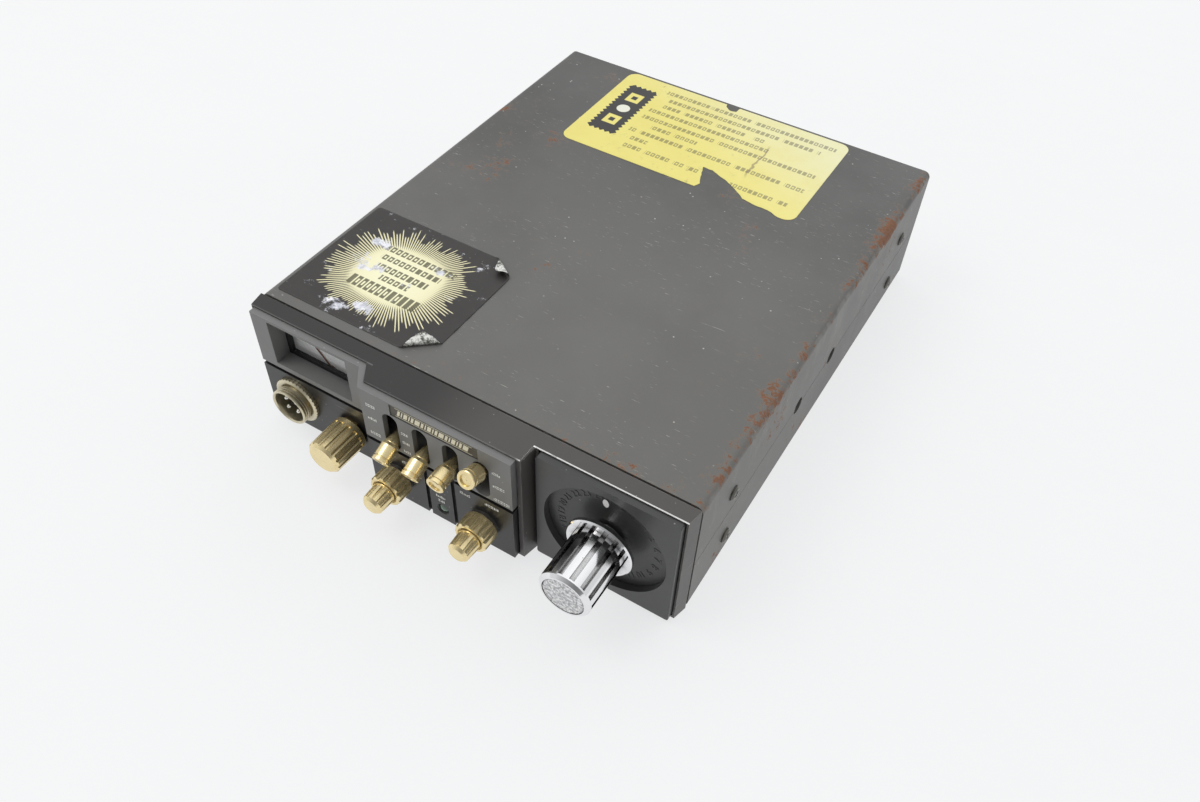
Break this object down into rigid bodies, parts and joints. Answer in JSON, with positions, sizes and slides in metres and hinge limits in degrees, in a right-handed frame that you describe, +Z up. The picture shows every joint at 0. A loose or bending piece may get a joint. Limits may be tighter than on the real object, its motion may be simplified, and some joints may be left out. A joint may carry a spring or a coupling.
{
  "type": "mobile transceiver",
  "caption": "Flat steel-cased mobile radio with a stepped front, bullet levers, turned knobs, a chromed channel dial and a microphone socket",
  "frame": {"origin": "middle of the bottom face, under the front edge of the covers", "axes": "+X to the right as the user faces the front, +Y from the front to the rear, +Z up"},
  "size_m": [0.1826, 0.2543, 0.056],
  "materials": {
    "case_paint": "black satin enamel on steel, scuffed, rusty at the edges",
    "plated_steel": "zinc plated sheet",
    "screw_black": "black oxide screws",
    "front_black": "satin black moulding, worn at the edges",
    "fascia_grey": "dark grey satin moulding",
    "gloss_black": "polished black",
    "strip": "dark anodised, brushed",
    "nickel": "nickel plate over brass, slightly worn",
    "black_insulator": "moulded insulator",
    "contact": "silvered contacts",
    "gold": "champagne gold anodised, satin",
    "steel_shaft": "turned steel",
    "brass": "turned brass",
    "control_body": "plated cans",
    "chrome": "polished chrome",
    "silver_cap": "fine textured silver",
    "green_lens": "dark green tinted lens",
    "meter_black": "matt black housing",
    "meter_face": "light grey printed plate",
    "needle_orange": "matt enamel",
    "clear_glass": "clear window",
    "movement": "magnet block",
    "board": "green solder resist",
    "can_metal": "tinned screening cans",
    "capacitor": "shrink sleeve",
    "iron_core": "varnished laminations",
    "epoxy": "moulded packages with tinned leads",
    "heatsink": "plain aluminium",
    "speaker_steel": "plated basket",
    "cone_paper": "doped paper",
    "ferrite": "sintered ferrite",
    "white_insulator": "fluoropolymer"
  },
  "bodies": {
    "case": {"chassis": "plated_steel", "top_cover": "case_paint", "bottom_cover": "case_paint", "rear_panel": "case_paint", "machine_screws": "screw_black", "front_bezel": "front_black", "upper_fascia": "fascia_grey", "lower_fascia": "fascia_grey", "channel_plate": "gloss_black", "name_strip": "strip", "mic_socket_shell": "nickel", "mic_socket_nut": "nickel", "mic_socket_insert": "black_insulator", "mic_socket_pins": "contact", "volume_control": "control_body", "volume_nut": "brass", "dual_controls": "control_body", "dual_collars": "screw_black", "channel_switch": "control_body", "lever_switches": "black_insulator", "lever_pins": "steel_shaft", "indicator_lens": "green_lens", "meter_housing": "meter_black", "meter_scale": "meter_face", "meter_lens": "clear_glass", "meter_movement": "movement", "main_board": "board", "tuning_cans": "can_metal", "capacitors": "capacitor", "audio_transformer": "iron_core", "power_transistors": "epoxy", "transistor_bracket": "heatsink", "speaker_frame": "speaker_steel", "speaker_cone": "cone_paper", "speaker_magnet": "ferrite", "antenna_socket": "nickel", "antenna_insulator": "white_insulator", "antenna_contact": "contact", "power_socket": "black_insulator", "power_pins": "contact", "speaker_jacks": "nickel"},
    "volume": {"volume_knob": "gold", "volume_shaft": "steel_shaft"},
    "left_outer": {"left_outer_knob": "gold", "left_outer_shaft": "steel_shaft"},
    "left_inner": {"left_inner_knob": "gold", "left_inner_shaft": "steel_shaft"},
    "right_outer": {"right_outer_knob": "gold", "right_outer_shaft": "steel_shaft"},
    "right_inner": {"right_inner_knob": "gold", "right_inner_shaft": "steel_shaft"},
    "channel": {"channel_knob": "chrome", "channel_knob_cap": "silver_cap", "channel_dial": "gloss_black", "channel_shaft": "steel_shaft"},
    "lever_1": {"lever_1": "gold"},
    "lever_2": {"lever_2": "gold"},
    "lever_3": {"lever_3": "gold"},
    "lever_4": {"lever_4": "gold"},
    "needle": {"meter_needle": "needle_orange"}
  },
  "joints": [
    {"name": "volume_turn", "type": "hinge", "parent": "case", "child": "volume", "pos_m": [-0.0471, -0.018, 0.0158], "axis": [0, 1, 0], "range_deg": [-150, 150]},
    {"name": "left_outer_turn", "type": "hinge", "parent": "case", "child": "left_outer", "pos_m": [-0.01885, -0.02, 0.0158], "axis": [0, 1, 0], "range_deg": [-150, 150]},
    {"name": "left_inner_turn", "type": "hinge", "parent": "case", "child": "left_inner", "pos_m": [-0.01885, -0.029, 0.0158], "axis": [0, 1, 0], "range_deg": [-150, 150]},
    {"name": "right_outer_turn", "type": "hinge", "parent": "case", "child": "right_outer", "pos_m": [0.01815, -0.02, 0.0158], "axis": [0, 1, 0], "range_deg": [-150, 150]},
    {"name": "right_inner_turn", "type": "hinge", "parent": "case", "child": "right_inner", "pos_m": [0.01815, -0.029, 0.0158], "axis": [0, 1, 0], "range_deg": [-150, 150]},
    {"name": "channel_turn", "type": "hinge", "parent": "case", "child": "channel", "pos_m": [0.0613, -0.02, 0.02875], "axis": [0, 1, 0], "continuous": true},
    {"name": "lever_1_tilt", "type": "hinge", "parent": "case", "child": "lever_1", "pos_m": [-0.0191, -0.005, 0.03985], "axis": [-1, 0, 0], "range_deg": [0, 46]},
    {"name": "lever_2_tilt", "type": "hinge", "parent": "case", "child": "lever_2", "pos_m": [-0.0066, -0.005, 0.03985], "axis": [-1, 0, 0], "range_deg": [0, 46]},
    {"name": "lever_3_tilt", "type": "hinge", "parent": "case", "child": "lever_3", "pos_m": [0.0059, -0.005, 0.03985], "axis": [-1, 0, 0], "range_deg": [-16, 30]},
    {"name": "lever_4_tilt", "type": "hinge", "parent": "case", "child": "lever_4", "pos_m": [0.0184, -0.005, 0.03985], "axis": [-1, 0, 0], "range_deg": [-44.5, 1.5]},
    {"name": "needle_sweep", "type": "hinge", "parent": "case", "child": "needle", "pos_m": [-0.0618, 0.002, 0.0316], "axis": [0, 1, 0], "range_deg": [0, 80]}
  ]
}
